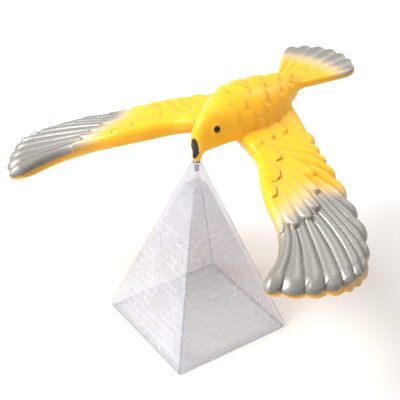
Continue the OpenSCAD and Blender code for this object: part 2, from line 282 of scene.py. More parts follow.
def feather_pillows(x, y):
    """Height of the flight feathers above the grooves between them, from 0 to 1, and their width.

    Each groove line is carried on past the wing's outline and in towards the body.
    """
    lines = []
    for points in GROOVES:
        line = curve(points, 5)
        out, root = line[0] - line[1], line[-1] - line[-2]
        beyond = line[0] + out / np.hypot(*out) * 6
        inboard = line[-1] + root / np.hypot(*root) * 12
        lines.append(np.vstack([beyond, line, inboard]))
    signed = []
    for line in lines:
        distance, side = line_distance(x, y, line)
        signed.append(-distance * side)
    front, _ = line_distance(x, y, WING_FRONT)
    pillow = np.zeros(x.shape)
    width = np.full(x.shape, 6.0)
    for k in range(len(lines) + 1):
        before = signed[k - 1] if k else np.maximum(front, 0.01)
        after = -signed[k] if k < len(lines) else np.full(x.shape, 5.0)
        here = (before > 0) & (after > 0) if k else after > 0
        share = 4 * before * after / np.maximum(before + after, 1e-6) ** 2
        pillow = np.where(here, np.clip(share, 0, 1), pillow)
        width = np.where(here, before + after, width)
    return pillow, width


def covert_heights(x, y):
    """Height of the covert feathers above the wing's own surface; below zero where there are none."""
    height = np.full(x.shape, -9.0)
    for root, tip, half, rise in COVERTS:
        along = np.subtract(tip, root).astype(float)
        length = np.hypot(*along)
        along /= length
        s = (x - root[0]) * along[0] + (y - root[1]) * along[1]
        q = np.abs((x - root[0]) * along[1] - (y - root[1]) * along[0])
        start = length - half * 1.5
        taper = np.sqrt(np.clip(1 - (np.maximum(s - start, 0) / (length - start)) ** 2, 0, 1))
        reach = 1 - (q / np.maximum(half * taper, 1e-3)) ** 2
        rise_here = COVERT_GROWTH * rise * (0.1 + 0.9 * np.clip(s / length, 0, 1) ** 1.2)
        blade = rise_here * np.clip(reach, 0, 1) ** 0.65
        height = np.where((reach > 0) & (s > 0) & (s < length), np.maximum(height, blade), height)
    return height


def wing_maps(x, y):
    """Top and bottom of the wing, distance outside its outline, top without feathers, and share of groove.

    v runs from 0 at the front edge to 1 at the rear one.
    """
    outline = np.vstack([WING_FRONT, WING_REAR[::-1]])
    distance, _ = line_distance(x, y, np.vstack([outline, outline[:1]]))
    outside = np.where(inside_polygon(x, y, outline), -distance, distance)
    inboard = np.minimum(x, WIDEST)
    front_y = np.interp(inboard, WING_FRONT[:, 0], WING_FRONT[:, 1])
    rear_y = np.interp(inboard, WING_REAR[:, 0], WING_REAR[:, 1])
    v = np.clip((y - front_y) / np.maximum(rear_y - front_y, 1), 0, 1)
    middle = crown(x) - REAR_FALL * v * np.maximum(0, (x - 40) / 35)
    edge = np.abs(2 * v - 1) ** RIM_TURN
    tip = smooth(58, 76, x) * TIP_DROP
    pillow, width = feather_pillows(x, y)
    depth = np.minimum(GROOVE_SHARE * width, GROOVE_DEEPEST) * mix(0.45, 1, smooth(18, 44, x))
    relief = depth * (pillow**0.9 - 1)
    roll = smooth(4.5, 0.5, line_distance(x, y, WING_FRONT[:SMOOTH_LEAD])[0]) * smooth(52, 40, x)
    base = middle - (RIM_DROP + tip) * edge
    ends = np.clip(1 - distance / LOBE_ROLL, 0, 1) ** 2 * smooth(46, 54, x)
    top = base + relief * (1 - roll) - LOBE_FALL * ends
    coverts = base - 0.12 + covert_heights(x, y)
    grooves = np.where(coverts > top, 0, smooth(0.4, 0.0, pillow))
    top = -merge(-top, -coverts, 0.2)
    low = middle - WING_T + (WING_T - RIM_DROP - RIM_T) * edge + 0.25 * depth * (1 - pillow)
    plain_top = base - depth * (1 - roll) - LOBE_FALL * ends
    return top, low, outside, plain_top, grooves


# ---------------------------------------------------------------- body, beak and tail

BODY_LINE = curve(BODY, 6)


def body_field(x, y, z, scales):
    """Body and head: ovals along Y, raised by the scales."""
    half = np.interp(y, BODY_LINE[:, 0], BODY_LINE[:, 1])
    top = np.interp(y, BODY_LINE[:, 0], BODY_LINE[:, 2])
    low = np.interp(y, BODY_LINE[:, 0], BODY_LINE[:, 3])
    middle = np.minimum(np.maximum(BODY_MID, low + 1.5), top - 1.5)
    reach = np.where(z > middle, top - middle, middle - low)
    up = z - middle
    rho = np.sqrt((x / half) ** 2 + (up / reach) ** 2)
    slope = np.sqrt((x / half**2) ** 2 + (up / reach**2) ** 2)
    side = (rho - 1) * rho / np.maximum(slope, 1e-4) - scales
    ends = np.maximum(BODY[0][0] - y, y - BODY[-1][0])
    return rounded(side, ends, 1.2)


def scale_heights(x, y, z):
    """Overlapping back feathers: each rises towards its round rear end and steps down there."""
    around = 10.5 * np.arctan2(x, np.maximum(z - 4.0, 0.5))
    height = np.zeros(np.broadcast(x, z).shape)
    for row, (half, rise, count) in enumerate(zip(SCALE_HALF, SCALE_RISE, SCALE_COUNT)):
        end = FIRST_SCALE + row * SCALE_PITCH
        for k in range(count):
            centre = (k + 0.5 * (row % 2)) * half * 1.85
            last = end - 0.12 * centre + (0.5, -0.4, 0.2)[(row + k) % 3]
            for place in {centre, -centre}:
                s = (y - last + half * 2.2) / (half * 2.2)
                q = np.abs(around - place) / half
                round_end = np.clip((y - last + half) / half, 0, 1) ** 2 + q**2
                inside = (s > 0) & (round_end < 1) & (q < 1)
                blade = rise * np.clip(s, 0, 1) ** 1.6 * np.sqrt(np.clip(1 - round_end**3, 0, 1))
                height = np.where(inside, np.maximum(height, blade), height)
    return height * smooth(-1.5, 3.5, z)


def beak_field(x, y, z):
    """Bill with a flat end, in which the ball sits."""
    field = np.full(x.shape, 99.0)
    for a, b in [pair for chain in BEAK for pair in zip(chain[:-1], chain[1:])]:
        along = np.subtract(b[0], a[0]).astype(float)
        dx, dy, dz = x - a[0][0], y - a[0][1], z - a[0][2]
        t = np.clip((dx * along[0] + dy * along[1] + dz * along[2]) / (along @ along), 0, 1)
        d = np.sqrt((dx - t * along[0]) ** 2 + (dy - t * along[1]) ** 2 + (dz - t * along[2]) ** 2)
        field = merge(field, d - mix(a[1], b[1], t), 0.8)
    return rounded(field, 0.15 - z, 0.25)


def tail_maps(x, y):
    """Top, bottom and outline distance of the fan.

    s runs from 0 at its root to 1 at its end, and u across it from -1 to 1.
    """
    r = np.hypot(x, y - FAN_Y)
    angle = np.arctan2(x, np.maximum(y - FAN_Y, 1e-3))
    s = np.clip((r - FAN_START) / (FAN_END - FAN_START), 0, 1)
    half = FAN_HALF * (1 - FAN_WAIST * (1 - s) ** 2)
    u = angle / half
    bump = np.abs(np.cos(np.clip(u, -1, 1) * TAIL_FEATHERS * math.pi / 2))
    end = FAN_END - FAN_ROUND * u * u + FAN_TIP * (bump - 0.5)
    outside = rounded((np.abs(u) - 1) * half * r, r - end, 2.5)
    outside = np.maximum(outside, FAN_Y + FAN_START - 4 - y)
    crest = bump**0.6 - 1
    top = mix(FAN_ROOT_Z, FAN_END_Z, s) + mix(0.85, 0.75, s) * crest
    low = mix(FAN_ROOT_Z, FAN_END_Z, s) - TAIL_T + 0.35 * crest - TAIL_RIM * smooth(-3, -0.8, outside)
    return top, low, outside


def slug_distance(x, y, z):
    """Distance outside the slug, in its own tilted frame."""
    x, y, z = x - SLUG_AT[0], y - SLUG_AT[1], z - (crown(SLUG_AT[0]) - WING_T / 2 - SLUG_DROP)
    nod, roll = SLUG_TILT
    x, z = x * math.cos(roll) - z * math.sin(roll), x * math.sin(roll) + z * math.cos(roll)
    y, z = y * math.cos(nod) + z * math.sin(nod), z * math.cos(nod) - y * math.sin(nod)
    across = x * math.cos(SLUG_TURN) + y * math.sin(SLUG_TURN)
    along = y * math.cos(SLUG_TURN) - x * math.sin(SLUG_TURN)
    t = np.clip(along / SLUG_SPAN + 0.5, 0, 1)
    plan = np.hypot(across, along - (t - 0.5) * SLUG_SPAN) - mix(SLUG_NOSE, SLUG_R, t)
    return np.maximum(plan, np.abs(z) - SLUG_T / 2)


def joint_height(x, y):
    """Height at which the two shells meet."""
    body = np.minimum(JOINT_TOP, crown(x) - PART_DROP)
    return mix(body, TAIL_JOINT, smooth(JOINT_END - 1, JOINT_END + 1, y))


def bird_fields(upper):
    """Samples of one half shell and of the whole skin, below zero in the plastic, and where they start."""
    xs = np.arange(*SAMPLED_X, STEP)
    ys = np.arange(*SAMPLED_Y, STEP)
    zs = np.arange(*(UPPER_Z if upper else LOWER_Z), STEP)
    x, y = np.meshgrid(xs, ys, indexing="ij")
    wing_top, wing_low, wing_out, plain_top, _ = wing_maps(x, y)
    tail_top, tail_low, tail_out = tail_maps(x, y)
    lead = smooth(56, 46, x) * (y < 12)
    round_edge = mix(1.1, 2.2, lead)
    joint = joint_height(x, y)
    eye = np.array(EYE_AT)
    half = np.empty((len(xs), len(ys), len(zs)), np.float32)
    bare = np.empty_like(half)
    for k, z in enumerate(zs):
        wing = rounded(z - wing_top, wing_out, round_edge)
        wing = rounded(wing, wing_low - z, 1.3)
        tail = rounded(rounded(z - tail_top, tail_out, 0.8), tail_low - z, 0.5)
        skin = np.minimum(wing, tail)
        n = int(BODY_REACH / STEP)
        cx, cy = x[:n], y[:n]
        scales = scale_heights(cx, cy, z)
        eye_distance = np.sqrt((cx - eye[0]) ** 2 + (cy - eye[1]) ** 2 + (z - eye[2]) ** 2)
        rim = EYE_RIM_RISE * np.exp(-(((eye_distance - EYE_RIM) / 0.5) ** 2))
        body = body_field(cx, cy, z, scales + rim)
        body = merge(body, beak_field(cx, cy, z), BEAK_FILLET)
        skin[:n] = merge(merge(body, wing[:n], WING_FILLET), tail[:n], TAIL_FILLET)
        bare[:, :, k] = skin
        slug = slug_distance(x, y, z)
        inside = rounded(rounded(z - plain_top, wing_out, round_edge), wing_low + 0.3 - z, 1.3)
        inside[:n] = merge(body_field(cx, cy, z, 0), inside[:n], WING_FILLET)
        cavity = np.maximum(inside + WALL, SLUG_GAP + POCKET_WALL - slug)
        room = np.maximum(slug - SLUG_GAP, skin + LEAST_SKIN)
        shell = np.maximum(skin, np.maximum(-cavity, -room))
        shell[:n] = np.maximum(shell[:n], EYE_R + 0.02 - eye_distance)
        ball = np.sqrt(cx**2 + cy**2 + z**2)
        shell[:n] = np.maximum(shell[:n], BALL_R + BALL_ROOM - ball)
        side = joint - z if upper else z - joint
        half[:, :, k] = np.maximum(shell, side - SEAM_BOND)
    whole = np.concatenate([half[:0:-1], half])
    skin = np.concatenate([bare[:0:-1], bare])
    return whole, skin, np.array([-xs[-1], ys[0], zs[0]])


def sample(field, points, origin):
    """Field at the points, evened out between the samples."""
    at = np.clip((points - origin) / STEP, 0, np.array(field.shape) - 1.001)
    cell = at.astype(int)
    part = at - cell
    value = np.zeros(len(points))
    for corner in np.ndindex(2, 2, 2):
        weight = np.prod(np.where(corner, part, 1 - part), 1)
        value += weight * field[tuple((cell + corner).T)]
    return value


def skin_normals(mesh, points, skin, origin):
    """Normals for shading, smooth over the seam, and for paint, which creeps a little into the seam."""
    slope = np.stack([sample(skin, points + step, origin) - sample(skin, points - step, origin)
                      for step in np.eye(3) * STEP * 0.6], 1)
    slope /= np.maximum(np.linalg.norm(slope, axis=1, keepdims=True), 1e-9)
    normals = np.empty(len(points) * 3, np.float32)
    mesh.vertex_normals.foreach_get("vector", normals)
    normals = normals.reshape(-1, 3)
    depth = sample(skin, points, origin)
    painted = np.where((depth > -0.75)[:, None], slope, normals)
    on_skin = np.abs(depth) < 0.6 * STEP
    normals[on_skin] = slope[on_skin]
    return normals, painted


def surface_net(field, origin):
    """Quad mesh where the samples change sign: one point in each cell that the surface crosses."""
    inside = field < 0
    shape = np.array(field.shape) - 1
    count = np.zeros(shape, np.uint8)
    for i in (0, 1):
        for j in (0, 1):
            for k in (0, 1):
                count += inside[i:i + shape[0], j:j + shape[1], k:k + shape[2]]
    cells = np.argwhere((count > 0) & (count < 8))
    index = np.full(shape, -1, np.int32)
    index[tuple(cells.T)] = np.arange(len(cells))
    total = np.zeros((len(cells), 3))
    hits = np.zeros(len(cells))
    for axis in range(3):
        unit = np.eye(3, dtype=int)[axis]
        others = [a for a in range(3) if a != axis]
        for p in (0, 1):
            for q in (0, 1):
                offset = np.zeros(3, int)
                offset[others[0]], offset[others[1]] = p, q
                a = field[tuple((cells + offset).T)].astype(float)
                b = field[tuple((cells + offset + unit).T)].astype(float)
                crossed = (a < 0) != (b < 0)
                t = np.where(crossed, a / np.where(crossed, a - b, 1), 0)
                total += np.where(crossed[:, None], offset + t[:, None] * unit, 0)
                hits += crossed
    points = origin + (cells + total / hits[:, None]) * STEP
    faces = []
    for axis in range(3):
        b, c = [(1, 2), (2, 0), (0, 1)][axis]
        first = np.moveaxis(inside, (axis, b, c), (0, 1, 2))
        around = np.moveaxis(index, (axis, b, c), (0, 1, 2))
        change = first[1:, 1:-1, 1:-1] != first[:-1, 1:-1, 1:-1]
        i, j, k = np.nonzero(change)
        quad = np.stack([around[i, j, k], around[i, j + 1, k],
                         around[i, j + 1, k + 1], around[i, j, k + 1]], 1)
        leaving = first[i, j + 1, k + 1]
        faces.append(np.where(leaving[:, None], quad, quad[:, ::-1]))
    return points, np.vstack(faces)


# ---------------------------------------------------------------- mesh helpers


def piece_from(name, mesh, body, replaced):
    """A piece that rides on a body and stands in for a CAD node, which it hides."""
    piece = bpy.data.objects.new(name, mesh)
    bpy.context.scene.collection.objects.link(piece)
    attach(piece, body)
    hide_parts(replaced)
    return piece


def net_mesh(name, points, faces):
    """A mesh from points in metres in the row frame and an array of quads."""
    mesh = bpy.data.meshes.new(name)
    mesh.vertices.add(len(points))
    mesh.vertices.foreach_set("co", np.asarray(points, np.float32).ravel())
    mesh.loops.add(faces.size)
    mesh.loops.foreach_set("vertex_index", faces.ravel().astype(np.int32))
    mesh.polygons.add(len(faces))
    mesh.polygons.foreach_set("loop_start", np.arange(0, faces.size, faces.shape[1], dtype=np.int32))
    mesh.update(calc_edges=True)
    mesh.validate()
    mesh.shade_smooth()
    return mesh


def bird_shell(name, upper):
    """One half of the hollow bird, kept inside its CAD box."""
    field, skin, origin = bird_fields(upper)
    points, faces = surface_net(field, origin)
    low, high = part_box(name)
    row = points * MM + np.array(PIVOT)
    row = np.clip(row, np.array(low), np.array(high))
    mesh = net_mesh(name + "_moulded", row, faces)
    piece = piece_from(name + "_moulded", mesh, "bird", name)
    normals, painted = skin_normals(piece.data, points, skin, origin)
    paint_bird(piece, painted, np.abs(points[:, 2] - joint_height(points[:, 0], points[:, 1])))
    piece.data.normals_split_custom_set_from_vertices(normals)
    return piece


def hollows(mesh, passes):
    """Points in mm and how hollow the surface is at each, in 1/mm, evened out over neighbours."""
    count = len(mesh.vertices)
    co = np.empty(count * 3, np.float32)
    normal = np.empty(count * 3, np.float32)
    mesh.vertices.foreach_get("co", co)
    mesh.vertex_normals.foreach_get("vector", normal)
    co, normal = co.reshape(-1, 3) / MM, normal.reshape(-1, 3)
    ends = np.empty(len(mesh.edges) * 2, np.int32)
    mesh.edges.foreach_get("vertices", ends)
    a, b = ends[0::2], ends[1::2]
    degree = np.bincount(a, minlength=count) + np.bincount(b, minlength=count)

    def neighbours(values):
        total = np.bincount(a, values[b], count) + np.bincount(b, values[a], count)
        return total / np.maximum(degree, 1)

    mean = np.stack([neighbours(co[:, axis]) for axis in range(3)], 1)
    hollow = np.sum((mean - co) * normal, 1) / STEP**2
    for _ in range(passes):
        hollow = 0.4 * hollow + 0.6 * neighbours(hollow)
    return co, hollow


# Where the silver starts on the wing, as y and x, and how much further out it is full
SILVER_FROM = [(-36, 35), (-20, 35), (-10, 34), (0, 34), (10, 34), (17, 38), (25, 45)]
PAINT_FADE = 18
TAIL_SILVER = (26, 46)  # distance from the fan's centre at which it starts and is full
PATCH_AT = 5.7  # height, half width and half height of the black beak patch
PATCH_HALF = (1.7, 4.3)

# Painted shadow lines along the round ends of some covert feathers
COVERT_END_SHADOWS = [
    [(36.5, -5), (37.3, -3.6), (36.5, -2), (35, 0)], [(32, 1), (32.9, 3), (32.8, 5.5), (31, 8.5)],
    [(26.5, 12), (27.2, 13.6), (27, 15.5)], [(49.5, 0.8), (50.6, 1.8)], [(44.5, 10.4), (45.8, 11.4)],
]


def paint_bird(piece, normal, from_joint):
    """Colour attribute: silver spray, black beak patch, painted shade in the hollows, and painted shadow
    lines with a dark border.

    The spray came from above, so it fades on the sides, and the steep sides where it fades turn a darker
    brown.
    """
    co, hollow = hollows(piece.data, 3)
    hollow *= smooth(0.3, 0.9, from_joint)
    x, y, z = (co - np.array(PIVOT) / MM).T
    side = np.abs(x)
    starts = np.interp(y, *np.array(SILVER_FROM).T)
    wing = smooth(0, PAINT_FADE, side - starts) * (y < 40)
    tail = smooth(*TAIL_SILVER, np.hypot(x, y - FAN_Y)) * (y > 60)
    sprayed = np.clip(wing + tail, 0, 1)
    silver = sprayed * smooth(-0.2, 0.3, normal[:, 2])
    groove = np.zeros(len(x))
    spread = (side > 16) & (normal[:, 2] > 0.1)
    groove[spread] = wing_maps(side[spread], y[spread])[4] * smooth(20, 46, side[spread])
    patch = np.sqrt((x / PATCH_HALF[0]) ** 2 + ((z - PATCH_AT) / PATCH_HALF[1]) ** 2)
    black = smooth(1.06, 0.96, patch) * (y < 2) * (normal[:, 1] < 0.3)
    # painted shadow lines where the covert feathers end
    end_shadows = np.zeros(len(x))
    near = (side > 20) & (side < 54) & (y > -8) & (y < 18) & (normal[:, 2] > 0.1)
    for shadow_line in COVERT_END_SHADOWS:
        distance, _ = line_distance(side[near], y[near], curve(shadow_line, 4))
        end_shadows[near] = np.maximum(end_shadows[near], smooth(0.34, 0.1, distance))
    rim = sprayed * smooth(0.55, 0.2, normal[:, 2]) * smooth(-0.6, -0.05, normal[:, 2])
    # painted shade: darker in the hollows and along the grooves between the flight feathers
    painted_shade = np.clip(hollow * 0.8 + 0.6 * groove, 0, 0.8)
    shadow_lines_and_border = np.maximum(end_shadows, rim * 0.6)
    values = np.stack([silver, black, painted_shade, shadow_lines_and_border], 1)
    attribute = piece.data.color_attributes.new("paint", "FLOAT_COLOR", "POINT")
    attribute.data.foreach_set("color", values.astype(np.float32).ravel())


# ---------------------------------------------------------------- materials


class Nodes:
    """Short names for building a material's nodes."""

    def __init__(self, name):
        self.material = bpy.data.materials.new(name)
        self.material.use_nodes = True
        self.tree = self.material.node_tree
        self.shader = self.tree.nodes["Principled BSDF"]
        self.place = self.add("ShaderNodeTexCoord").outputs["Object"]

    def add(self, kind, **settings):
        node = self.tree.nodes.new(kind)
        for key, value in settings.items():
            setattr(node, key, value)
        return node

    def feed(self, socket, value):
        if isinstance(value, bpy.types.NodeSocket):
            self.tree.links.new(value, socket)
        else:
            socket.default_value = value

    def set(self, **values):
        for key, value in values.items():
            self.feed(self.shader.inputs[key.replace("_", " ")], value)

    def math(self, operation, a, b):
        node = self.add("ShaderNodeMath", operation=operation)
        self.feed(node.inputs[0], a)
        self.feed(node.inputs[1], b)
        return node.outputs[0]

    def span(self, value, low, high, out_low=0.0, out_high=1.0):
        node = self.add("ShaderNodeMapRange", interpolation_type="SMOOTHSTEP")
        for socket, item in zip(node.inputs, (value, low, high, out_low, out_high)):
            self.feed(socket, item)
        return node.outputs[0]

    def blend(self, share, a, b):
        node = self.add("ShaderNodeMix", data_type="RGBA")
        self.feed(node.inputs["Factor"], share)
        self.feed(node.inputs["A"], a)
        self.feed(node.inputs["B"], b)
        return node.outputs["Result"]

    def noise(self, scale, detail=2.0, roughness=0.5):
        node = self.add("ShaderNodeTexNoise")
        self.feed(node.inputs["Vector"], self.place)
        self.feed(node.inputs["Scale"], scale)
        self.feed(node.inputs["Detail"], detail)
        self.feed(node.inputs["Roughness"], roughness)
        return node.outputs["Factor"] if "Factor" in node.outputs else node.outputs["Fac"]

    def bump(self, height, strength, distance):
        node = self.add("ShaderNodeBump")
        self.feed(node.inputs["Height"], height)
        self.feed(node.inputs["Strength"], strength)
        self.feed(node.inputs["Distance"], distance)
        self.feed(self.shader.inputs["Normal"], node.outputs["Normal"])


def linear(red, green, blue):
    """A colour given as 0 to 255 on screen, as the shader's linear values."""
    values = []
    for c in (red, green, blue):
        values.append(((c / 255 + 0.055) / 1.055) ** 2.4 if c > 10 else c / 255 / 12.92)
    return (*values, 1)


def bird_plastic():
    """Glossy yellow plastic with silver sprayed tips, a black beak patch, painted shade in the hollows and
    painted shadow lines.
    """
    n = Nodes("bird_plastic")
    paint = n.add("ShaderNodeAttribute", attribute_name="paint")
    split = n.add("ShaderNodeSeparateColor")
    n.feed(split.inputs[0], paint.outputs["Color"])
    silver, black, hollow = split.outputs[0], split.outputs[1], split.outputs[2]
    dark = paint.outputs["Alpha"]
    speckle = n.noise(2600, 2, 0.6)
    cloud = n.noise(45, 2, 0.5)
    mist = n.math("ADD", silver, n.math("MULTIPLY", n.math("SUBTRACT", speckle, 0.5), 0.5))
    sprayed = n.math("MULTIPLY", n.span(mist, 0.05, 0.95), n.span(silver, 0.0, 0.15))
    yellow = n.blend(n.span(cloud, 0.3, 0.75), (0.95, 0.488, 0.015, 1), (0.94, 0.455, 0.011, 1))
    # painted shade: the yellow turns amber in the hollows and grooves
    yellow = n.blend(n.span(hollow, 0.03, 0.6), yellow, (0.72, 0.25, 0.003, 1))
    grey = n.blend(n.span(speckle, 0.3, 0.7), (0.30, 0.285, 0.258, 1), (0.42, 0.402, 0.37, 1))
    # thin spray is a pale cream: the mixed colour of silver over yellow, with painted sheen
    grey = n.blend(n.span(silver, 0.35, 1.0), (0.72, 0.66, 0.54, 1), grey)
    # painted shade: the silver turns nearly black in the hollows and grooves
    grey = n.blend(n.span(hollow, 0.05, 0.9), grey, (0.11, 0.1, 0.09, 1))
    colour = n.blend(sprayed, yellow, grey)
    # painted shadow lines at the covert ends, and a darker brown on the steep sides where the spray fades
    colour = n.blend(n.math("MULTIPLY", dark, 0.85), colour, linear(84, 58, 22))
    colour = n.blend(black, colour, linear(9, 7, 6))
    plain = n.math("SUBTRACT", 1.0, n.math("MAXIMUM", black, n.math("MULTIPLY", dark, 0.8)))
    shine = n.math("MULTIPLY", n.math("MULTIPLY", sprayed, plain), 0.6)
    n.set(Base_Color=colour, Metallic=shine, Roughness=n.span(sprayed, 0, 1, 0.34, 0.44))
    n.shader.inputs["Subsurface Weight"].default_value = 0.12
    n.shader.inputs["Subsurface Radius"].default_value = (1.0, 0.45, 0.1)
    n.shader.inputs["Subsurface Scale"].default_value = 0.0012
    n.shader.inputs["Specular IOR Level"].default_value = 0.5
    n.shader.inputs["IOR"].default_value = 1.45
    n.bump(n.math("ADD", n.noise(900, 2, 0.5), n.math("MULTIPLY", speckle, sprayed)), 0.12, 0.00015)
    return n.material


def clear_plastic(name, tint, haze, tint_at_top=None):
    """Thin clear styrene: it takes a little of the light behind it and adds a faint milky gloss.

    With tint_at_top the tint darkens with height: painted shade that keeps the top, seen against the bright
    floor, as grey as the base.
    """
    n = Nodes(name)
    cloud = n.noise(120, 3, 0.6)
    n.set(Base_Color=n.blend(cloud, linear(222, 221, 228), linear(240, 239, 244)),
          Roughness=n.span(cloud, 0.3, 0.7, 0.12, 0.25))
    n.shader.inputs["Specular IOR Level"].default_value = 0.6
    n.bump(n.noise(70, 2, 0.5), 0.15, 0.0004)
    facing = n.add("ShaderNodeLayerWeight")
    facing.inputs[0].default_value = 0.3
    milky = n.span(cloud, 0.25, 0.75, haze * 0.6, haze * 1.4)
    share = n.math("ADD", milky, n.math("MULTIPLY", facing.outputs["Fresnel"], 0.2))
    through = n.add("ShaderNodeBsdfTransparent")
    height = n.add("ShaderNodeSeparateXYZ")
    n.feed(height.inputs[0], n.place)
    # painted shade: the tint darkens with height
    n.feed(through.inputs[0], n.blend(n.span(height.outputs[2], 0.005, 0.07), tint, tint_at_top or tint))
    mixer = n.add("ShaderNodeMixShader")
    n.feed(mixer.inputs[0], share)
    n.tree.links.new(through.outputs[0], mixer.inputs[1])
    n.tree.links.new(n.shader.outputs[0], mixer.inputs[2])
    n.tree.links.new(mixer.outputs[0], n.tree.nodes["Material Output"].inputs["Surface"])
    return n.material


def metal(name, colour, rough, grain):
    """Metal with fine tool marks."""
    n = Nodes(name)
    shadow_lines_and_border = n.noise(grain, 3, 0.6)
    n.set(Base_Color=n.blend(n.span(shadow_lines_and_border, 0.3, 0.7), colour, tuple(c * 0.8 for c in colour[:3]) + (1,)),
          Metallic=1.0, Roughness=n.span(shadow_lines_and_border, 0.3, 0.7, rough, rough + 0.12))
    n.bump(shadow_lines_and_border, 0.1, 0.00005)
    return n.material


def eye_gloss():
    """Black lacquer with faint orange peel."""
    n = Nodes("eye_gloss")
    n.set(Base_Color=n.blend(n.noise(800), linear(14, 10, 9), linear(26, 20, 17)),
          Roughness=n.span(n.noise(500), 0, 1, 0.06, 0.14))
    n.shader.inputs["Specular IOR Level"].default_value = 0.35
    n.bump(n.noise(1500), 0.05, 0.00005)
    return n.material


def floor_paint():
    """Plain pale matt floor."""
    n = Nodes("floor_paint")
    n.set(Base_Color=n.blend(n.noise(3), linear(224, 224, 224), linear(227, 227, 227)), Roughness=0.65)
    return n.material


def dress(piece, material):
    """One material for the whole piece: clearing the slots also resets the look of every face."""
    piece.data.materials.clear()
    piece.data.materials.append(material)


upper_shell = bird_shell("upper_shell", True)
lower_shell = bird_shell("lower_shell", False)
yellow = bird_plastic()
dress(upper_shell, yellow)
dress(lower_shell, yellow)

# ---------------------------------------------------------------- eyes


def lathe(profile, count):
    """Points and faces of a closed turned shape: profile is (radius, height) from one end to the other."""
    points = [(0, 0, profile[0][1])]
    for radius, height in profile[1:-1]:
        for i in range(count):
            a = 2 * math.pi * i / count
            points.append((radius * math.cos(a), radius * math.sin(a), height))
    points.append((0, 0, profile[-1][1]))
    rings = len(profile) - 2
    faces = []
    for i in range(count):
        j = (i + 1) % count
        faces.append((0, 1 + j, 1 + i))
        for r in range(rings - 1):
            p, q = 1 + r * count, 1 + (r + 1) * count
            faces.append((p + i, p + j, q + j, q + i))
        last = 1 + (rings - 1) * count
        faces.append((last + i, last + j, len(points) - 1))
    return np.array(points, float), faces


EYE_FLAT = 0.8
EYE_LEAN = (math.radians(80), math.radians(-28))


def eye(side, name, material):
    """Bead with a peg behind it, leaning out and a little forward."""
    bead = [(EYE_R * math.sin(a), EYE_R * EYE_FLAT * math.cos(a)) for a in np.linspace(0, math.pi * 0.85, 17)]
    peg = [(0.5, -1.1), (0.5, -1.9), (0.42, -2.0), (0, -2.0)]
    points, faces = lathe(bead + peg, 32)
    lean, turn = EYE_LEAN
    about_y = np.array([[math.cos(lean), 0, math.sin(lean)], [0, 1, 0], [-math.sin(lean), 0, math.cos(lean)]])
    about_z = np.array([[math.cos(turn), -math.sin(turn), 0], [math.sin(turn), math.cos(turn), 0], [0, 0, 1]])
    points = points @ (about_z @ about_y).T + np.array(EYE_AT)
    if side < 0:
        points = points * (-1, 1, 1)
    else:
        faces = [face[::-1] for face in faces]  # this profile's faces look inward until they are turned
    low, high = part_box(name)
    points = np.clip(points * MM + np.array(PIVOT), np.array(low), np.array(high))
    mesh = bpy.data.meshes.new(name + "_bead")
    mesh.from_pydata([tuple(p) for p in points], [], faces)
    mesh.shade_smooth()
    dress(piece_from(name + "_bead", mesh, "bird", name), material)


gloss = eye_gloss()
eye(1, "eye_left", gloss)
eye(-1, "eye_right", gloss)

# ---------------------------------------------------------------- pyramid

STAND_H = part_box("pyramid_shell")[1].z / MM
BASE_SIDE = 50
STAND_TURN = math.radians(-19)
STAND_WALL = 1.6
FOOT_BAND = 2.6  # height of the upright band round the foot
APEX_FLAT = 3.2  # side of the flat tip
COURSES = 14  # rows of blocks, over this share of the height above the band
COURSE_SHARE = 0.62
BLOCK_LENGTH = 5.2
JOINT_HALF = 0.3  # half the width of a joint between blocks, and its depth
JOINT_DEPTH = 0.2
STEM_HOLE = 1.03  # radius of the hole for the cup's stem
STEM_DEPTH = 3.3
HOLE_ARC = 12  # steps of the hole's rim along each side of the tip
CAVE_TOP = STAND_H - 9  # the hollow inside ends at this height
PEG_R = 1.5
PEG_INSET = 7  # from the sides of the foot to a peg's middle
PLATE_T = 1.8
EDGE_ROUND = 0.45
RIDGE_TOP = CAVE_TOP + 8.5  # an edge that reaches higher than this, at the tip, stays sharp
TUBE_H = 7.2
WALL_LOOK, EDGE_LOOK, JOINT_LOOK, TIP_LOOK, TUBE_LOOK = range(5)  # the shell's material slots


def half_width(z):
    slope = (BASE_SIDE - APEX_FLAT) / 2 / (STAND_H - FOOT_BAND)
    return BASE_SIDE / 2 - slope * max(z - FOOT_BAND, 0)


def pyramid_rows():
    """Heights of the rows of points, each with how deep it is sunk and its course of blocks, if any."""
    course = (STAND_H - FOOT_BAND) * COURSE_SHARE / COURSES
    rows = [(0, 0, None), (FOOT_BAND, 0, None)]
    for i in range(1, COURSES + 1):
        z = FOOT_BAND + i * course
        rows.append((z - JOINT_HALF, 0, i - 1))
        rows.append((z, JOINT_DEPTH, None))
        rows.append((z + JOINT_HALF, 0, i if i < COURSES else None))
    rows.append((CAVE_TOP, 0, None))
    rows.append((STAND_H, 0, None))
    return rows


def pyramid_columns():
    """Places along a side, each with the index of the upright joint that may stand there, if any."""
    columns = []
    half_block = BLOCK_LENGTH / 2
    for k in range(-int(BASE_SIDE / BLOCK_LENGTH) - 1, int(BASE_SIDE / BLOCK_LENGTH) + 2):
        middle = k * half_block
        columns += [(middle - JOINT_HALF, None), (middle, k), (middle + JOINT_HALF, None)]
    return columns


def turned(x, y, quarter):
    """A place on one side of the stand, for the side that lies this many quarters round."""
    a = STAND_TURN + quarter * math.pi / 2
    return x * math.cos(a) - y * math.sin(a), x * math.sin(a) + y * math.cos(a)


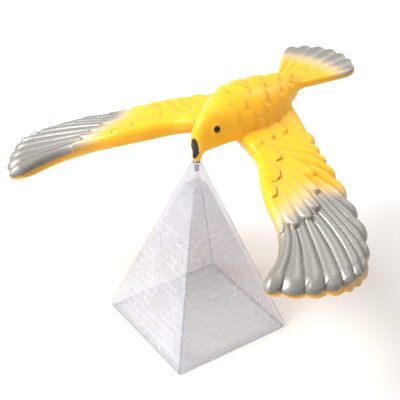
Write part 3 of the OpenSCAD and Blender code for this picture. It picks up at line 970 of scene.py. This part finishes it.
def outer_sides(maker):
    """The four sides with their sunk joints, and the points along their top and bottom edges."""
    rows, columns = pyramid_rows(), pyramid_columns()
    top_edges, bottom_edges = [], []
    for quarter in range(4):
        grid, sunk = [], []
        for z, depth, course in rows:
            half = half_width(z)
            line, sunk_line = [], []
            for u, k in columns:
                at = min(max(u, -half), half)
                near_edge = float(smooth(0.3, 1.0, half - abs(at)))
                stands = k is not None and course is not None and (k + course) % 2 == 0
                sunk_line.append(max(depth, JOINT_DEPTH if stands else 0) * near_edge)
                x, y = turned(at, -(half - sunk_line[-1]), quarter)
                line.append(maker.verts.new((x, y, z)))
            grid.append(line)
            sunk.append(sunk_line)
        for r, (low_row, high_row) in enumerate(zip(grid[:-1], grid[1:])):
            for i in range(len(columns) - 1):
                face = maker.faces.new((low_row[i], low_row[i + 1], high_row[i + 1], high_row[i]))
                joint = any(sunk[r + up][i + over] > JOINT_DEPTH / 2 for up in (0, 1) for over in (0, 1))
                face.material_index = JOINT_LOOK if joint else WALL_LOOK
                if r == len(rows) - 2:
                    face.material_index = TIP_LOOK
        bottom_edges.append(grid[0])
        top_edges.append(grid[-1])
    return top_edges, bottom_edges


def hollow_inside(maker, bottom_edges):
    """The inner walls and ceiling, and the foot between them and the outer sides."""
    inner = [(0, half_width(0) - STAND_WALL), (FOOT_BAND, half_width(0) - STAND_WALL),
             (CAVE_TOP, half_width(CAVE_TOP) - STAND_WALL)]
    inner_rings = []
    for z, half in inner:
        ring = []
        for quarter in range(4):
            x, y = turned(-half, -half, quarter)
            ring.append(maker.verts.new((x, y, z)))
        inner_rings.append(ring)
    for quarter in range(4):
        after = (quarter + 1) % 4
        for a, b in zip(inner_rings[:-1], inner_rings[1:]):
            maker.faces.new((a[quarter], b[quarter], b[after], a[after]))
        maker.faces.new([inner_rings[0][quarter], inner_rings[0][after]] + bottom_edges[quarter][::-1])
    maker.faces.new(inner_rings[-1][::-1])


def stem_hole(maker, top_edges):
    """The flat tip and the blind hole in it for the cup's stem."""
    hole = {}
    count = 4 * HOLE_ARC
    for i in range(count):
        a = math.radians(-135) + STAND_TURN + i * math.pi / 2 / HOLE_ARC
        for z in (STAND_H, STAND_H - STEM_DEPTH):
            hole[i, z] = maker.verts.new((STEM_HOLE * math.cos(a), STEM_HOLE * math.sin(a), z))
    for quarter in range(4):
        rim = [hole[(quarter * HOLE_ARC + i) % count, STAND_H] for i in range(HOLE_ARC + 1)]
        maker.faces.new(top_edges[quarter] + rim[::-1])
    for i in range(count):
        j = (i + 1) % count
        maker.faces.new((hole[i, STAND_H], hole[j, STAND_H],
                         hole[j, STAND_H - STEM_DEPTH], hole[i, STAND_H - STEM_DEPTH]))
    maker.faces.new([hole[i, STAND_H - STEM_DEPTH] for i in range(count)])


def pyramid_shell():
    """The clear hollow pyramid. Its faces already have their looks' slots, which are filled later."""
    maker = bmesh.new()
    top_edges, bottom_edges = outer_sides(maker)
    hollow_inside(maker, bottom_edges)
    stem_hole(maker, top_edges)
    for quarter in range(4):
        peg_tube(maker, quarter)
    bmesh.ops.remove_doubles(maker, verts=maker.verts, dist=1e-4)
    bmesh.ops.dissolve_degenerate(maker, edges=maker.edges, dist=1e-4)
    bmesh.ops.recalc_face_normals(maker, faces=maker.faces)
    round_edges(maker)
    for vert in maker.verts:
        vert.co *= MM
    mesh = bpy.data.meshes.new("pyramid_moulded")
    maker.to_mesh(mesh)
    maker.free()
    return piece_from("pyramid_moulded", mesh, "stand", "pyramid_shell")


def round_edges(maker):
    """Rounds the long outer edges. Their faces get a darker tint, painted shade for the dark look of a
    rounded clear edge.
    """
    ridges = [e for e in maker.edges if len(e.link_faces) == 2 and e.calc_face_angle() > math.radians(50)
              and all(v.co.z < RIDGE_TOP and on_outer_edge(v.co) for v in e.verts)]
    made = bmesh.ops.bevel(maker, geom=ridges, offset=EDGE_ROUND, segments=2, profile=0.5, affect="EDGES")
    for face in made["faces"]:
        face.material_index = EDGE_LOOK
        face.smooth = True


def on_outer_edge(place):
    """True on the four slanting edges, the upright corners and the foot."""
    square = Vector((place.x, place.y, 0))
    square.rotate(Euler((0, 0, -STAND_TURN)))
    half = half_width(place.z)
    across = sorted((half - abs(square.x), half - abs(square.y)))
    return across[0] < 0.01 and (across[1] < 0.01 or place.z < 0.01)


def peg_tube(maker, quarter):
    """Tube for a peg of the base plate, in one corner of the shell."""
    middle = BASE_SIDE / 2 - PEG_INSET
    count = 32
    rings = []
    for radius, z in ((PEG_R + 1, PLATE_T), (PEG_R + 1, PLATE_T + TUBE_H), (PEG_R + 0.05, PLATE_T + TUBE_H),
                      (PEG_R + 0.05, PLATE_T)):
        ring = []
        for i in range(count):
            a = 2 * math.pi * i / count
            x, y = turned(-middle + radius * math.cos(a), -middle + radius * math.sin(a), quarter)
            ring.append(maker.verts.new((x, y, z)))
        rings.append(ring)
    for a, b in zip(rings, rings[1:] + rings[:1]):
        for i in range(count):
            j = (i + 1) % count
            maker.faces.new((a[i], a[j], b[j], b[i])).material_index = TUBE_LOOK


shell = pyramid_shell()
plate = clear_plastic("clear_plate", (0.99, 0.99, 0.992, 1), 0.02)
looks = {
    # the tints that darken towards the apex, and the darker tip, are painted shade
    WALL_LOOK: clear_plastic("clear_plastic", (0.97, 0.97, 0.976, 1), 0.1, (0.85, 0.85, 0.872, 1)),
    # the rounded edges' darker tint is painted shade
    EDGE_LOOK: clear_plastic("clear_plastic_edge", (0.62, 0.61, 0.7, 1), 0.08),
    JOINT_LOOK: clear_plastic("clear_plastic_joint", (0.99, 0.99, 0.992, 1), 0.26, (0.9, 0.9, 0.915, 1)),
    TIP_LOOK: clear_plastic("clear_plastic_tip", (0.85, 0.85, 0.872, 1), 0.1),
    TUBE_LOOK: plate,
}
for slot in sorted(looks):  # added without dress(), so that each face keeps its own look
    shell.data.materials.append(looks[slot])
dress(frame["nodes"]["base_plate"], plate)
dress(frame["nodes"]["pivot_cup"], metal("cup_metal", linear(205, 205, 208), 0.25, 700))
dress(frame["nodes"]["pivot_ball"], metal("ball_metal", linear(215, 215, 218), 0.12, 900))
brass = metal("slug_metal", linear(205, 170, 95), 0.35, 300)
dress(frame["nodes"]["weight_left"], brass)
dress(frame["nodes"]["weight_right"], brass)

# ---------------------------------------------------------------- camera, light, floor

AZIMUTH = math.radians(37.93)
ELEVATION = math.radians(32.57)
CAMERA_AWAY = 405.5
CAMERA_SHIFT = (-6.2, -3.05)  # to the right and up from the pivot, as the camera sees it
AIM_SHIFT = (1.1, -14.6)  # and the point that the camera looks at

back = Vector((math.sin(AZIMUTH) * math.cos(ELEVATION), -math.cos(AZIMUTH) * math.cos(ELEVATION),
               math.sin(ELEVATION)))
right = Vector((math.cos(AZIMUTH), math.sin(AZIMUTH), 0))
up = back.cross(right)
place = PIVOT + (CAMERA_AWAY * back + CAMERA_SHIFT[0] * right + CAMERA_SHIFT[1] * up) * MM
target = PIVOT + (AIM_SHIFT[0] * right + AIM_SHIFT[1] * up) * MM

camera = bpy.data.objects.new("camera", bpy.data.cameras.new("camera"))
camera.location = place
camera.rotation_euler = (target - place).to_track_quat("-Z", "Y").to_euler()
camera.data.lens = 99.7
camera.data.sensor_width = 36
camera.data.clip_start = 0.01
bpy.context.scene.collection.objects.link(camera)
bpy.context.scene.camera = camera


def area_light(name, location, aim, size, power):
    lamp = bpy.data.lights.new(name, "AREA")
    lamp.shape = "DISK"
    lamp.size = size
    lamp.energy = power
    holder = bpy.data.objects.new(name, lamp)
    holder.location = location
    holder.rotation_euler = (Vector(aim) - Vector(location)).to_track_quat("-Z", "Y").to_euler()
    bpy.context.scene.collection.objects.link(holder)


MIDDLE = (0, 0.02, 0.05)
area_light("key", (-0.75, -0.75, 1.35), MIDDLE, 1.2, 42)
area_light("rim", (0.1, 0.9, 0.9), MIDDLE, 0.6, 2.5)

world = bpy.data.worlds.new("studio")
world.use_nodes = True
world.node_tree.nodes["Background"].inputs["Color"].default_value = (1, 1, 1, 1)
world.node_tree.nodes["Background"].inputs["Strength"].default_value = 0.58
bpy.context.scene.world = world
bpy.context.scene.view_settings.view_transform = "Standard"
bpy.context.scene.cycles.transparent_max_bounces = 32  # at the usual 8 the pegs in their tubes turn black

FLOOR_REACH = 3.0
floor_mesh = bpy.data.meshes.new("floor")
floor_mesh.from_pydata([(-FLOOR_REACH, -FLOOR_REACH, 0), (FLOOR_REACH, -FLOOR_REACH, 0),
                        (FLOOR_REACH, FLOOR_REACH, 0), (-FLOOR_REACH, FLOOR_REACH, 0)], [], [(0, 1, 2, 3)])
floor = bpy.data.objects.new("floor", floor_mesh)
bpy.context.scene.collection.objects.link(floor)
dress(floor, floor_paint())
